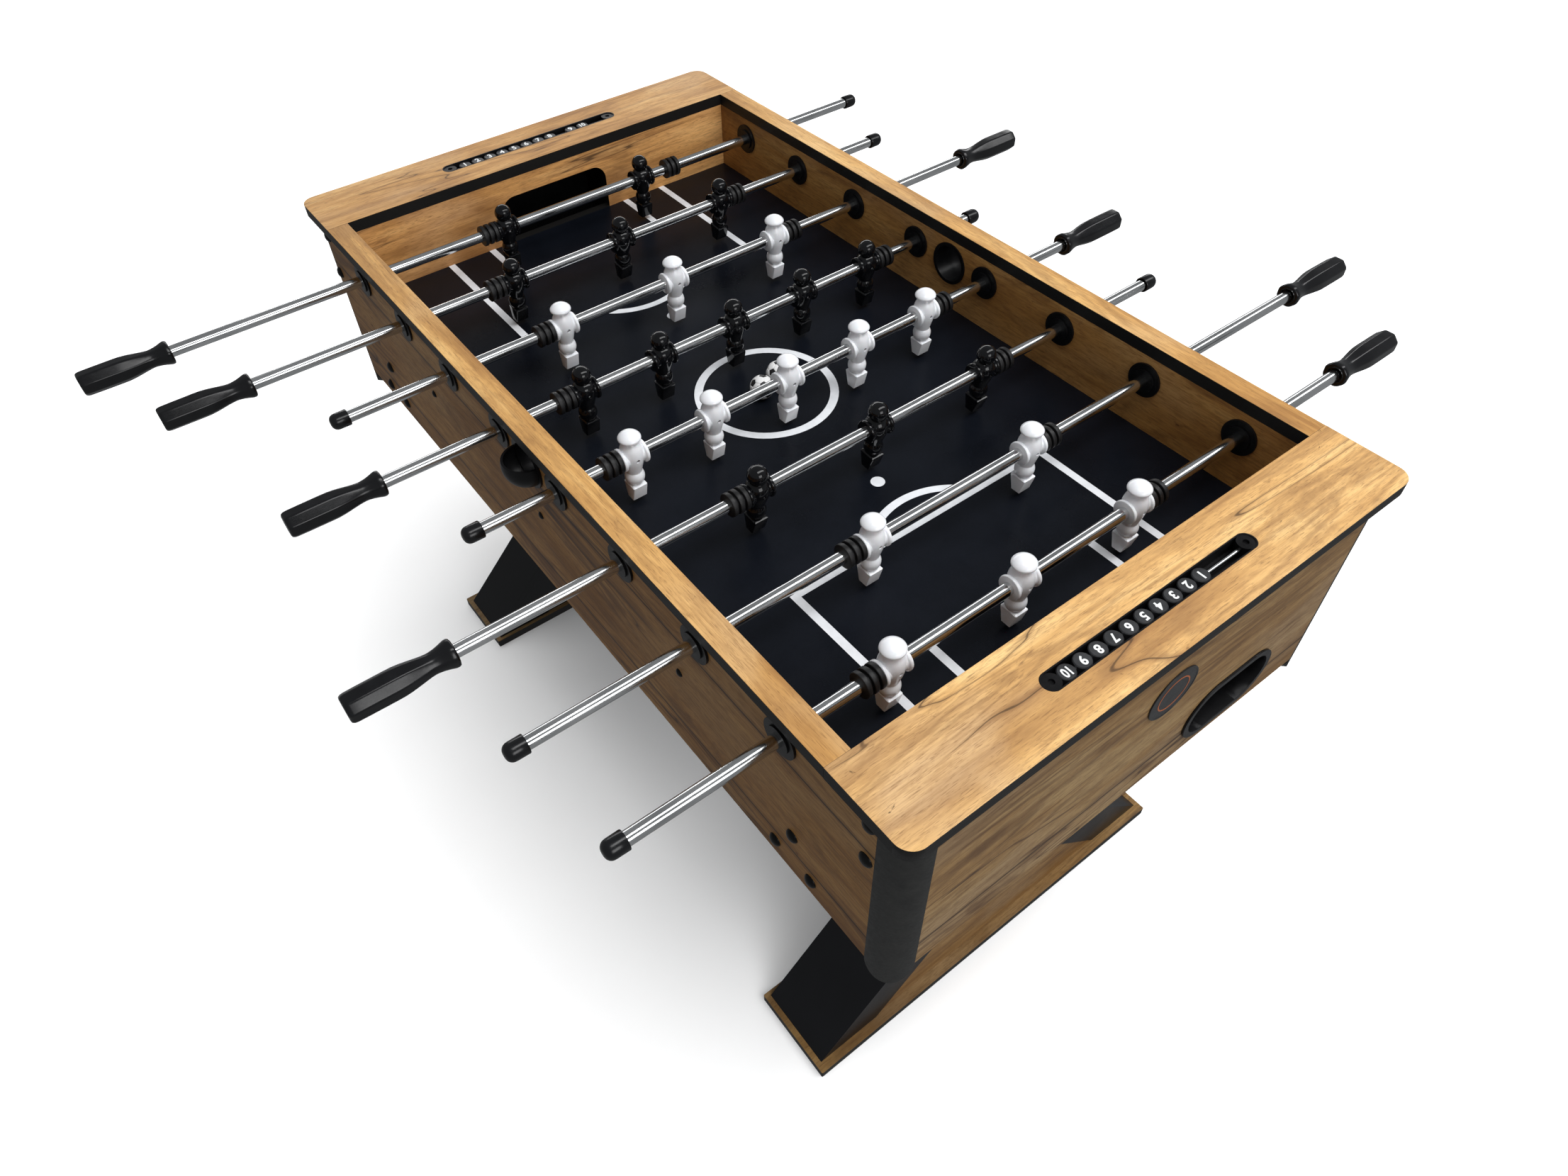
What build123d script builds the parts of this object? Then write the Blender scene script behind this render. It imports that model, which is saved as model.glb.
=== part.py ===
from build123d import *
import os
from math import cos, pi, sin, sqrt

# Foosball table: a laminated cabinet on two crossed-board legs, with eight sliding and turning player
# rods, two bead scorers, ball pockets behind the goals and two balls.
# Frame, in mm: origin on the floor under the middle of the table, X along the table towards the near
# end, Y along the rods, Z up.

# Overall sizes
TABLE_HEIGHT = 870
TOP_LENGTH = 1394
TOP_WIDTH = 750
TOP_THICKNESS = 18
TOP_CORNER_RADIUS = 20
FIELD_LENGTH = 1170
FIELD_WIDTH = 686
OVERHANG = 10
PANEL = 22
CABINET_DEPTH = 301
FIELD_DEPTH = 126
FIELD_THICKNESS = 8
GAP = 0.05  # radial clearance of a running fit
GRIP_GAP = 0.02  # radial clearance of a pressed piece
PAST = 20  # how far a cutting bar runs past the faces it goes through

# Heights and half sizes worked out from them
Z_TOP = TABLE_HEIGHT
Z_UNDER = Z_TOP - TOP_THICKNESS
Z_BOTTOM = Z_TOP - CABINET_DEPTH
Z_FIELD = Z_TOP - FIELD_DEPTH
FIELD_X = FIELD_LENGTH / 2
FIELD_Y = FIELD_WIDTH / 2
BODY_X = TOP_LENGTH / 2 - OVERHANG
BODY_Y = TOP_WIDTH / 2 - OVERHANG
GOAL_WALL = 15
GOAL_WALL_RISE = 6  # the goal wall's foot stands this far above the panels' lower edge
BATTEN = 20
BATTEN_HEIGHT = 24
BATTEN_END = 23

# Corner posts
POST_RADIUS = 38
POST_WALL = 5
POST_TONGUE = 36
FLANGE = 4
FLANGE_REACH = 34

# Rods
ROD_RADIUS = 8
ROD_WALL = 2
ROD_PITCH = 145.5
Z_ROD = Z_TOP - 52
ROD_COUNT = 8
BEARING_HOLE = 15
FLANGE_RADIUS = 24
FLANGE_THICKNESS = 3
COLLAR_RADIUS = 16
COLLAR_REACH = 5
HALVES_APART = 0.3

# Each row from the far end to the near end: team, figures, slide from the centred place at rest,
# turn at rest in degrees
ROWS = [
    ("black", 2, -2, 0),
    ("black", 3, -5, 5),
    ("white", 3, -4, 0),
    ("black", 5, 0, 0),
    ("white", 5, -18, 0),
    ("black", 3, 9, 5),
    ("white", 2, 2, 0),
    ("white", 3, -38, 0),
]
HANDLE_SIDE = {1: -1, 2: -1, 3: 1, 4: -1, 5: 1, 6: -1, 7: 1, 8: 1}
FIGURE_PITCH = {2: 252, 3: 186, 5: 121}
HANDLE_END = {2: 765, 3: 697, 5: 642}
CAP_END = {2: 589, 3: 527, 5: 470}
HANDLE_LENGTH = 120
HANDLE_FLOOR = 12
CAP_LENGTH = 24
CAP_RADIUS = 10.8
CAP_DOME = 8
CAP_FLOOR = 5
FIGURE_HALF = 18
BUMPER_LENGTH = 24.5
BUMPER_SHIFT = 0.25
BUMPER_CORE = 11
RIB_RADIUS = 15.5
RIB_HALF = 3
MOULDED_EDGE = 1.2
LOOSE_BUMPER = 27  # the far row's bumper at +Y has slid this far out from its figure

# Fasteners on a side panel, as (x, depth below the top)
LEG_BOLTS = [(526, 221), (495, 274), (558, 274)]
CORNER_BOLTS = [(638, 101), (638, 38)]
FIELD_SCREWS = [(-320, 148), (0, 148), (320, 148)]
BOLT_RADIUS = 4
BOLT_HEAD = 9
SCREW_RADIUS = 2.5
SCREW_HEAD = 5.5
HEAD_HEIGHT = 0.6  # a domed head's height, as a share of its radius

# Ball ways
SERVE_DEPTH = 55
SERVE_RADIUS = 29.5
SERVE_WALL = 2.5
SCOOP_RADIUS = 31
SCOOP_OPEN = 9  # the scoop is open above this height over its middle
GOAL_HALF = 98
GOAL_DEPTH = 49
GOAL_CORNER = 24
RETURN_Y = 165
RETURN_LENGTH = 146
RETURN_HEIGHT = 83
RETURN_DEPTH = 236
POCKET_WALL = 3
RIM_WIDTH = 6
RIM_STANDS = 3
BALL_RADIUS = 17

# Scorers
SLOT_X = 643
SLOT_WIDTH = 24
SLOT_LENGTH = 318
TRAY_WALL = 1.6
TRAY_FLOOR = 2
TRAY_DEPTH = 20
SOCKET_RADIUS = 3.6
SOCKET_DEPTH = 4
SCORE_POST_Y = 147
SCORE_ROD_END = 142
SCORE_ROD_RADIUS = 3
BEAD_RADIUS = 10
BEAD_HEIGHT = 12
BEAD_PITCH = 22.2
Z_SCORE_ROD = Z_TOP - 8

# Legs
LEG_X = 512
LEG_DEPTH = 124
LEG_BOARD = 15
LEG_SPREAD = 351
ARM_RUN = 108
BASE_LENGTH = 720
BASE_WIDTH = 145
BASE_THICKNESS = 16
BASE_SHIFT = 3.5
CLEAT = 22
CLEAT_BOTTOM = 581
CLEAT_TOP = 704
ARM_FOOT = BASE_THICKNESS  # heights where the arms' edges meet the base and the middle line
ARM_UPPER = ARM_FOOT + LEG_SPREAD
ARM_LOWER = ARM_UPPER - ARM_RUN
ARM_MIDDLE = (ARM_UPPER + ARM_LOWER) / 2
ARM_HALF = ARM_RUN / 2
ARM_TOP = FIELD_Y - CLEAT
STRIPS_APART = 0.2


def block(x0, x1, y0, y1, z0, z1):
    """A box between two corners."""
    middle = Location(((x0 + x1) / 2, (y0 + y1) / 2, (z0 + z1) / 2))
    return middle * Box(x1 - x0, y1 - y0, z1 - z0)


def bar(radius, x, z, y0, y1):
    """A round bar along Y."""
    turned = Location((x, (y0 + y1) / 2, z), (90, 0, 0))
    return turned * Cylinder(radius, abs(y1 - y0))


def along_x(face, x0, x1):
    """A board between two places along X, from its outline in the YZ plane."""
    return Location((x0, 0, 0)) * extrude(face, x1 - x0, dir=(1, 0, 0))


def far(shape):
    """The same thing at the other end of the table, turned half a turn about Z."""
    return Rotation(0, 0, 180) * shape


def other_side(shape):
    """The same thing mirrored to the other long side."""
    return mirror(shape, about=Plane.XZ)


def rod_x(row):
    return (row - (ROD_COUNT + 1) / 2) * ROD_PITCH


def side_holes():
    """Every hole through the side panel at +Y, as bars to cut with."""
    depth = (FIELD_Y - CLEAT - PAST, BODY_Y + PAST)
    holes = [bar(BEARING_HOLE, rod_x(row), Z_ROD, *depth) for row in range(1, ROD_COUNT + 1)]
    holes.append(bar(SERVE_RADIUS + GAP, 0, Z_TOP - SERVE_DEPTH, *depth))
    for x, down in LEG_BOLTS + CORNER_BOLTS:
        holes.append(bar(BOLT_RADIUS + GAP, x, Z_TOP - down, *depth))
        holes.append(bar(BOLT_RADIUS + GAP, -x, Z_TOP - down, *depth))
    holes += [bar(SCREW_RADIUS + GAP, x, Z_TOP - down, *depth) for x, down in FIELD_SCREWS]
    return holes


HOLES = side_holes()
BOLT_HOLES = HOLES[ROD_COUNT + 1:]


# Cabinet

def side_panel():
    panel_x = BODY_X - POST_RADIUS
    return block(-panel_x, panel_x, FIELD_Y, BODY_Y, Z_BOTTOM, Z_UNDER) - HOLES


def stadium(length, width, height):
    """A round-ended slug standing on the XY plane, long in Y."""
    return extrude(Rotation(0, 0, 90) * SlotOverall(length, width), height)


def return_slug(grow, x0, x1):
    """The round-ended shape of the ball return, along X."""
    face = SlotOverall(RETURN_LENGTH + 2 * grow, RETURN_HEIGHT + 2 * grow)
    place = Plane(origin=(x0, RETURN_Y, Z_TOP - RETURN_DEPTH), x_dir=(0, 1, 0), z_dir=(1, 0, 0))
    return extrude(place * face, x1 - x0)


def end_panel():
    panel_y = BODY_Y - POST_RADIUS
    panel = block(BODY_X - PANEL, BODY_X, -panel_y, panel_y, Z_BOTTOM, Z_UNDER)
    return panel - return_slug(0, BODY_X - PANEL - 1, BODY_X + 1)


def goal_outline():
    """The goal's outline in the YZ plane: square at the field, rounded at the top."""
    high = Z_TOP - GOAL_DEPTH
    with BuildLine(Plane.YZ) as outline:
        Line((GOAL_HALF, high - GOAL_CORNER), (GOAL_HALF, Z_FIELD))
        Line((GOAL_HALF, Z_FIELD), (-GOAL_HALF, Z_FIELD))
        Line((-GOAL_HALF, Z_FIELD), (-GOAL_HALF, high - GOAL_CORNER))
        RadiusArc((-GOAL_HALF, high - GOAL_CORNER), (GOAL_CORNER - GOAL_HALF, high), GOAL_CORNER)
        Line((GOAL_CORNER - GOAL_HALF, high), (GOAL_HALF - GOAL_CORNER, high))
        RadiusArc((GOAL_HALF - GOAL_CORNER, high), (GOAL_HALF, high - GOAL_CORNER), GOAL_CORNER)
    return make_face(outline.edges())


def goal_wall():
    wall = block(FIELD_X, FIELD_X + GOAL_WALL, -FIELD_Y, FIELD_Y, Z_BOTTOM + GOAL_WALL_RISE, Z_UNDER)
    return wall - along_x(goal_outline(), FIELD_X - 1, FIELD_X + GOAL_WALL + 1)


def top_rail():
    return block(-FIELD_X, FIELD_X, FIELD_Y, TOP_WIDTH / 2, Z_UNDER, Z_TOP)


def top_board():
    board = block(FIELD_X, TOP_LENGTH / 2, -TOP_WIDTH / 2, TOP_WIDTH / 2, Z_UNDER, Z_TOP)
    corners = board.edges().filter_by(Axis.Z).group_by(Axis.X)[-1]
    board = fillet(corners, TOP_CORNER_RADIUS)
    return board - Location((SLOT_X, 0, Z_UNDER - 1)) * stadium(SLOT_LENGTH, SLOT_WIDTH, TOP_THICKNESS + 2)


def playfield():
    """The playing board and the battens that carry it."""
    under = Z_FIELD - FIELD_THICKNESS
    low = under - BATTEN_HEIGHT
    batten_x = FIELD_X - BATTEN_END
    batten_y = FIELD_Y - BATTEN
    long_batten = block(-batten_x, batten_x, batten_y, FIELD_Y, low, under) - BOLT_HOLES
    short_batten = block(batten_x, FIELD_X, -batten_y, batten_y, low, under)
    board = block(-FIELD_X, FIELD_X, -FIELD_Y, FIELD_Y, under, Z_FIELD)
    return [board, long_batten, other_side(long_batten), short_batten, far(short_batten)]


def corner_post():
    """A quarter-round moulding whose foot hangs down like a tongue, with flanges behind both panels."""
    cx = BODY_X - POST_RADIUS
    cy = BODY_Y - POST_RADIUS
    low = Z_BOTTOM - POST_TONGUE
    quarter = block(cx, BODY_X, cy, BODY_Y, low, Z_UNDER)
    round_post = quarter & Location((cx, cy, (low + Z_UNDER) / 2)) * Cylinder(POST_RADIUS, Z_UNDER - low)
    hollow = Location((cx, cy, Z_UNDER)) * Cylinder(POST_RADIUS - POST_WALL, 2 * CABINET_DEPTH)
    shell = round_post - hollow
    half = POST_RADIUS / sqrt(2)
    with BuildSketch(Plane(origin=(cx, cy, Z_BOTTOM), x_dir=(-1, 1, 0), z_dir=(1, 1, 0))) as tongue:
        Ellipse(half, POST_TONGUE)
        with Locations((0, CABINET_DEPTH / 2)):
            Rectangle(4 * POST_RADIUS, CABINET_DEPTH)
    shell = shell & extrude(tongue.sketch, 2 * POST_RADIUS)
    panel_gap_x = BODY_X - PANEL
    core = block(cx, panel_gap_x, cy, FIELD_Y, Z_BOTTOM, Z_UNDER)
    web_a = block(cx, cx + FLANGE, cy, BODY_Y - POST_WALL, Z_BOTTOM, Z_UNDER)
    web_b = block(cx, BODY_X - POST_WALL, cy, cy + FLANGE, Z_BOTTOM, Z_UNDER)
    lap_a = block(cx - FLANGE_REACH, cx + FLANGE, FIELD_Y - FLANGE, FIELD_Y, Z_BOTTOM, Z_UNDER)
    lap_b = block(panel_gap_x - FLANGE, panel_gap_x, cy - FLANGE_REACH, cy, Z_BOTTOM, Z_UNDER)
    return (shell + core + web_a + web_b + lap_a + lap_b) - BOLT_HOLES


# Ball ways

def ring(outer, inner, x, z, y0, y1):
    return bar(outer, x, z, y0, y1) - bar(inner, x, z, y0 - 1, y1 + 1)


def bearing(row):
    """The two halves of a rod's bearing in the side panel at +Y."""
    x = rod_x(row)
    bore = ROD_RADIUS + GAP
    middle = (FIELD_Y + BODY_Y) / 2
    halves = []
    for wall, way in ((FIELD_Y, -1), (BODY_Y, 1)):
        sleeve = bar(BEARING_HOLE - GAP, x, Z_ROD, middle + HALVES_APART * way, wall)
        plate = bar(FLANGE_RADIUS, x, Z_ROD, wall, wall + FLANGE_THICKNESS * way)
        collar = bar(COLLAR_RADIUS, x, Z_ROD, wall, wall + COLLAR_REACH * way)
        halves.append(sleeve + plate + collar - bar(bore, x, Z_ROD, FIELD_Y - PAST, BODY_Y + PAST))
    return halves


def serve_cup():
    """The serving hole's lining in the side panel at +Y, and the scoop outside it."""
    z = Z_TOP - SERVE_DEPTH
    inner = SERVE_RADIUS - SERVE_WALL
    lip = ring(SERVE_RADIUS + SERVE_WALL, inner, 0, z, FIELD_Y - 2, FIELD_Y)
    lining = ring(SERVE_RADIUS, inner, 0, z, FIELD_Y, BODY_Y) + lip
    wall = BODY_Y + RIM_STANDS
    plate_radius = SCOOP_RADIUS + 4
    bowl = Location((0, wall, z)) * (Sphere(SCOOP_RADIUS) - Sphere(SCOOP_RADIUS - RIM_STANDS))
    reach = SCOOP_RADIUS + 9
    bowl = bowl & block(-reach, reach, wall, wall + reach, z - reach, z + SCOOP_OPEN)
    plate = ring(plate_radius, inner, 0, z, BODY_Y, wall)
    return [lining, plate + bowl]


def chute_face(grow):
    """The pocket's inside in the YZ plane: it catches the ball under the goal and runs to the return."""
    return_z = Z_TOP - RETURN_DEPTH
    side = GOAL_HALF + 2
    high = Z_TOP - GOAL_DEPTH + 6
    low = return_z - RETURN_HEIGHT / 2 + POCKET_WALL
    reach = RETURN_Y + RETURN_LENGTH / 2 + 2
    points = [
        (-side, high),
        (side, high),
        (reach, return_z + RETURN_HEIGHT / 2 + 12),
        (reach, low),
        (reach - 60, low),
        (-side, Z_FIELD - 22),
    ]
    face = make_face(Plane.YZ * Polyline(*points, close=True))
    return offset(face, grow, kind=Kind.INTERSECTION) if grow else face


def goal_pocket():
    """A moulded pocket behind the goal wall, open towards the goal, with the return hole in its back."""
    x0 = FIELD_X + GOAL_WALL
    depth = BODY_X - PANEL - x0
    shell = along_x(chute_face(POCKET_WALL), x0, x0 + depth)
    inside = along_x(chute_face(0), x0 - 1, x0 + depth - POCKET_WALL)
    return shell - inside - return_slug(-RIM_STANDS, x0 + depth - 2 * POCKET_WALL, x0 + depth + 1)


def return_rim():
    """The black rim around the ball return, with a short sleeve through the end panel."""
    rim = return_slug(RIM_WIDTH, BODY_X, BODY_X + RIM_STANDS)
    sleeve = return_slug(0, BODY_X - PANEL, BODY_X) + rim
    return sleeve - return_slug(-RIM_STANDS, BODY_X - PANEL - 1, BODY_X + RIM_STANDS + 1)


# Scorers

def score_tray():
    """A trough let into the end board, with a round post at each end that holds the rod."""
    low = Z_TOP - TRAY_DEPTH
    inner = SLOT_WIDTH - 2 * TRAY_WALL
    outside = Location((SLOT_X, 0, low)) * stadium(SLOT_LENGTH, SLOT_WIDTH, TRAY_DEPTH)
    inside = stadium(SLOT_LENGTH - 2 * TRAY_WALL, inner, TRAY_DEPTH)
    tray = outside - Location((SLOT_X, 0, low + TRAY_FLOOR)) * inside
    post_top = Z_TOP - 1
    for y in (-SCORE_POST_Y, SCORE_POST_Y):
        post = Location((SLOT_X, y, (low + post_top) / 2)) * Cylinder(inner / 2, post_top - low)
        socket = Location((SLOT_X, y, Z_TOP)) * Cylinder(SOCKET_RADIUS, 2 * SOCKET_DEPTH)
        tray += post - socket
    return tray - bar(SCORE_ROD_RADIUS + GAP, SLOT_X, Z_SCORE_ROD, -SCORE_ROD_END, SCORE_ROD_END)


def score_rod():
    return bar(SCORE_ROD_RADIUS, SLOT_X, Z_SCORE_ROD, -SCORE_ROD_END, SCORE_ROD_END)


def bead(y):
    middle = Location((SLOT_X, y, Z_SCORE_ROD))
    body = Cylinder(BEAD_RADIUS, BEAD_HEIGHT)
    body = chamfer(body.edges().group_by(Axis.Z)[-1], 1)
    bore = bar(SCORE_ROD_RADIUS + GAP, SLOT_X, Z_SCORE_ROD, y - BEAD_RADIUS - 1, y + BEAD_RADIUS + 1)
    return middle * body - bore


# Player rods

def pole(row):
    """The steel tube, from inside its handle to inside its cap, with the handle towards +Y."""
    count = ROWS[row - 1][1]
    ends = (CAP_FLOOR - CAP_END[count], HANDLE_END[count] - HANDLE_FLOOR)
    return ring(ROD_RADIUS, ROD_RADIUS - ROD_WALL, 0, 0, *ends)


def octagon(radius, y):
    place = Plane(origin=(0, y, 0), x_dir=(1, 0, 0), z_dir=(0, 1, 0))
    return place * Rotation(0, 0, 22.5) * RegularPolygon(radius / cos(pi / 8), 8)


def handle(count):
    """An eight-sided grip with a waist and a flared mouth."""
    end = HANDLE_END[count]
    mouth = end - HANDLE_LENGTH
    flare = mouth + 7
    waist = mouth + 26
    widest = mouth + 62
    sections = [octagon(14, mouth), octagon(16, mouth + 2), octagon(15.6, flare)]
    steps = 6
    for i in range(1, steps + 1):
        sections.append(octagon(13.7 + 1.9 * cos(pi * i / steps), flare + (waist - flare) * i / steps))
    for i in range(1, steps + 1):
        sections.append(octagon(14 - 2.2 * cos(pi * i / steps), waist + (widest - waist) * i / steps))
    sections += [octagon(15.8, end - 3), octagon(13.5, end)]
    grip = loft(sections, ruled=True)
    return grip - bar(ROD_RADIUS + GRIP_GAP, 0, 0, mouth - 1, end - HANDLE_FLOOR)


def cap(count):
    """A domed cap on the rod's other end."""
    end = -CAP_END[count]
    mouth = end + CAP_LENGTH
    shoulder = end + CAP_DOME
    dome = Location((0, shoulder, 0)) * scale(Sphere(CAP_RADIUS), (1, CAP_DOME / CAP_RADIUS, 1))
    body = bar(CAP_RADIUS, 0, 0, shoulder, mouth) + dome
    return body - bar(ROD_RADIUS + GRIP_GAP, 0, 0, end + CAP_FLOOR, mouth + 1)


def bumper(y):
    """A rubber ring with three ribs that slides on the rod."""
    half = BUMPER_LENGTH / 2
    ring_body = bar(BUMPER_CORE, 0, 0, y - half, y + half)
    for at in (-1, 0, 1):
        middle = y + at * (half - RIB_HALF)
        rib = bar(RIB_RADIUS, 0, 0, middle - RIB_HALF, middle + RIB_HALF)
        ring_body += fillet(rib.edges(), MOULDED_EDGE)
    return ring_body - bar(ROD_RADIUS + GAP, 0, 0, y - half - 1, y + half + 1)


def head_lines(team):
    """The outline of a figure's head: a wide flat cap on a white one, a ball on a black one."""
    if team == "white":
        return [
            ThreePointArc((0, 37), (8.1, 35.1), (14.5, 29.8)),
            ThreePointArc((14.5, 29.8), (14.6, 28), (13.2, 27)),
            Line((13.2, 27), (9.4, 26)),
        ]
    return [
        ThreePointArc((0, 38), (12.6, 28.5), (11.4, 19.2)),
        Line((11.4, 19.2), (9.6, 19)),
    ]


def body_profile(team):
    """Half of a figure's outline, from the top of its head down to the ankle, turned about Z."""
    head = head_lines(team)
    trunk = Spline(head[-1] @ 1, (14.2, 15), (15.6, 4), (13.8, -10), (10.4, -24))
    hips = ThreePointArc(trunk @ 1, (12.8, -33), (10, -42))
    ankle = Line(hips @ 1, (8, -46))
    close = [Line(ankle @ 1, (0, -46)), Line((0, -46), head[0] @ 0)]
    return make_face(Plane.XZ * Curve(head + [trunk, hips, ankle] + close))


def figure(team):
    """One player about a rod on the Y axis, hanging down, facing +X."""
    body = revolve(body_profile(team), Axis.Z)
    hub = bar(12.5, 0, 0, -FIGURE_HALF, FIGURE_HALF)
    for way in (-1, 1):
        shoulder = bar(RIB_RADIUS, 0, 0, way * (FIGURE_HALF - 4), way * FIGURE_HALF)
        hub += fillet(shoulder.edges(), MOULDED_EDGE)
    foot_top = Plane.XY.offset(-44) * Rectangle(24, 20)
    foot_low = Plane.XY.offset(-67) * Rectangle(13, 20)
    foot = loft([foot_low, foot_top])
    foot = fillet(foot.edges(), MOULDED_EDGE)
    shape = body + hub + foot
    shape -= bar(ROD_RADIUS + GRIP_GAP, 0, 0, -FIGURE_HALF - 1, FIGURE_HALF + 1)
    screw_hole = Location((12, 0, 0), (0, 90, 0)) * Cylinder(2.4, 24)
    return shape - screw_hole


def player_row(row, figures):
    """The nodes of one row, as name and shape."""
    team, count, slide, turn = ROWS[row - 1]
    pitch = FIGURE_PITCH[count]
    side = HANDLE_SIDE[row]
    middle = Location((rod_x(row), slide, Z_ROD))
    at_rest = middle * Rotation(0, turn, 0)
    if side < 0:
        at_rest = at_rest * Rotation(0, 0, 180)
    places = [(i - (count - 1) / 2) * pitch for i in range(count)]
    outer = places[-1] + FIGURE_HALF + BUMPER_SHIFT + BUMPER_LENGTH / 2
    loose = LOOSE_BUMPER if row == 1 else 0
    facing = middle * Rotation(0, turn, 0)
    name = f"row{row}"
    return {
        f"{name}_rod": [at_rest * pole(row)],
        f"{name}_figures": [facing * Location((0, y, 0)) * figures[team] for y in places],
        f"{name}_grips": [at_rest * handle(count), at_rest * cap(count)],
        f"{name}_bumpers": [middle * bumper(-outer), middle * bumper(outer + loose)],
    }


# Legs

def leg_slice(points, x0, x1):
    """A board standing in the YZ plane, from its outline."""
    return along_x(make_face(Plane.YZ * Polyline(*points, close=True)), x0, x1)


def leg_arms(x0, x1):
    """One long diagonal board and the two halves that butt against it, as one face of the leg."""
    long_arm = [
        (-LEG_SPREAD, ARM_FOOT),
        (ARM_RUN - LEG_SPREAD, ARM_FOOT),
        (ARM_TOP, ARM_TOP + ARM_LOWER),
        (ARM_TOP, ARM_TOP + ARM_UPPER),
    ]
    low_arm = [
        (LEG_SPREAD - ARM_RUN, ARM_FOOT),
        (LEG_SPREAD, ARM_FOOT),
        (ARM_HALF, ARM_MIDDLE),
        (0, ARM_LOWER),
    ]
    high_arm = [
        (-ARM_TOP, ARM_TOP + ARM_LOWER),
        (-ARM_HALF, ARM_MIDDLE),
        (0, ARM_UPPER),
        (-ARM_TOP, ARM_TOP + ARM_UPPER),
    ]
    return [leg_slice(points, x0, x1) for points in (long_arm, low_arm, high_arm)]


def leg_strips(x0, x1):
    """The sloping boards that close the leg's sides between its two faces."""
    run = LEG_BOARD * sqrt(2)
    start = ARM_MIDDLE + STRIPS_APART
    low = [
        (LEG_SPREAD - run, ARM_FOOT),
        (LEG_SPREAD, ARM_FOOT),
        (ARM_HALF, ARM_MIDDLE),
        (ARM_HALF - run, ARM_MIDDLE),
    ]
    high = [
        (ARM_HALF, start),
        (ARM_TOP, ARM_TOP + ARM_LOWER),
        (ARM_TOP, ARM_TOP + ARM_LOWER + run),
        (ARM_HALF - run, start),
    ]
    strips = [leg_slice(points, x0, x1) for points in (low, high)]
    return strips + [other_side(strip) for strip in strips]


def leg_frame():
    """The black parts of the near leg: two crossed faces, side boards, inner infill and top cleats."""
    x0 = LEG_X - LEG_DEPTH / 2
    x1 = LEG_X + LEG_DEPTH / 2
    boards = leg_arms(x0, x0 + LEG_BOARD) + leg_arms(x1 - LEG_BOARD, x1)
    boards += leg_strips(x0 + LEG_BOARD, x1 - LEG_BOARD)
    boards.append(leg_slice(low_triangle(), x0 + 2, x0 + LEG_BOARD - 1))
    cleat = block(x0, FIELD_X - 3, FIELD_Y - CLEAT, FIELD_Y, CLEAT_BOTTOM, CLEAT_TOP) - BOLT_HOLES
    return boards + [cleat, other_side(cleat)]


def low_triangle():
    """The space between the two arms' feet."""
    foot = LEG_SPREAD - ARM_RUN
    return [(-foot, ARM_FOOT), (foot, ARM_FOOT), (0, ARM_LOWER)]


def high_triangle():
    """The space between the two arms under the cabinet, up to a little inside it."""
    top = Z_BOTTOM + 40
    return [(0, ARM_UPPER), (top - ARM_UPPER, top), (ARM_UPPER - top, top)]


def leg_infills():
    """The wood-grained triangles on the near leg's outer face."""
    x1 = LEG_X + LEG_DEPTH / 2
    triangles = (low_triangle(), high_triangle())
    return [leg_slice(points, x1 - LEG_BOARD + 1, x1 - 2) for points in triangles]


def leg_base():
    """The flat foot board under the near leg."""
    half = BASE_WIDTH / 2
    middle = LEG_X + BASE_SHIFT
    base = block(middle - half, middle + half, -BASE_LENGTH / 2, BASE_LENGTH / 2, 0, BASE_THICKNESS)
    return fillet(base.edges().filter_by(Axis.Z), 2)


# Fasteners

def bolt(x, down, radius, head, length):
    """A domed bolt through the side panel at +Y."""
    z = Z_TOP - down
    dome = Location((x, BODY_Y, z)) * scale(Sphere(head), (1, HEAD_HEIGHT, 1))
    dome = dome & block(x - head, x + head, BODY_Y, BODY_Y + head, z - head, z + head)
    return dome + bar(radius, x, z, BODY_Y - length, BODY_Y + 1)


def panel_bolts():
    bolts = []
    for x, down in LEG_BOLTS:
        bolts += [bolt(way * x, down, BOLT_RADIUS, BOLT_HEAD, PANEL + CLEAT - 2) for way in (-1, 1)]
    for x, down in CORNER_BOLTS:
        bolts += [bolt(way * x, down, BOLT_RADIUS, BOLT_HEAD, PANEL + 10) for way in (-1, 1)]
    bolts += [bolt(x, down, SCREW_RADIUS, SCREW_HEAD, PANEL + 14) for x, down in FIELD_SCREWS]
    return bolts + [other_side(one) for one in bolts]


def ball(x, y):
    return Location((x, y, Z_FIELD + BALL_RADIUS)) * Sphere(BALL_RADIUS)


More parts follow.
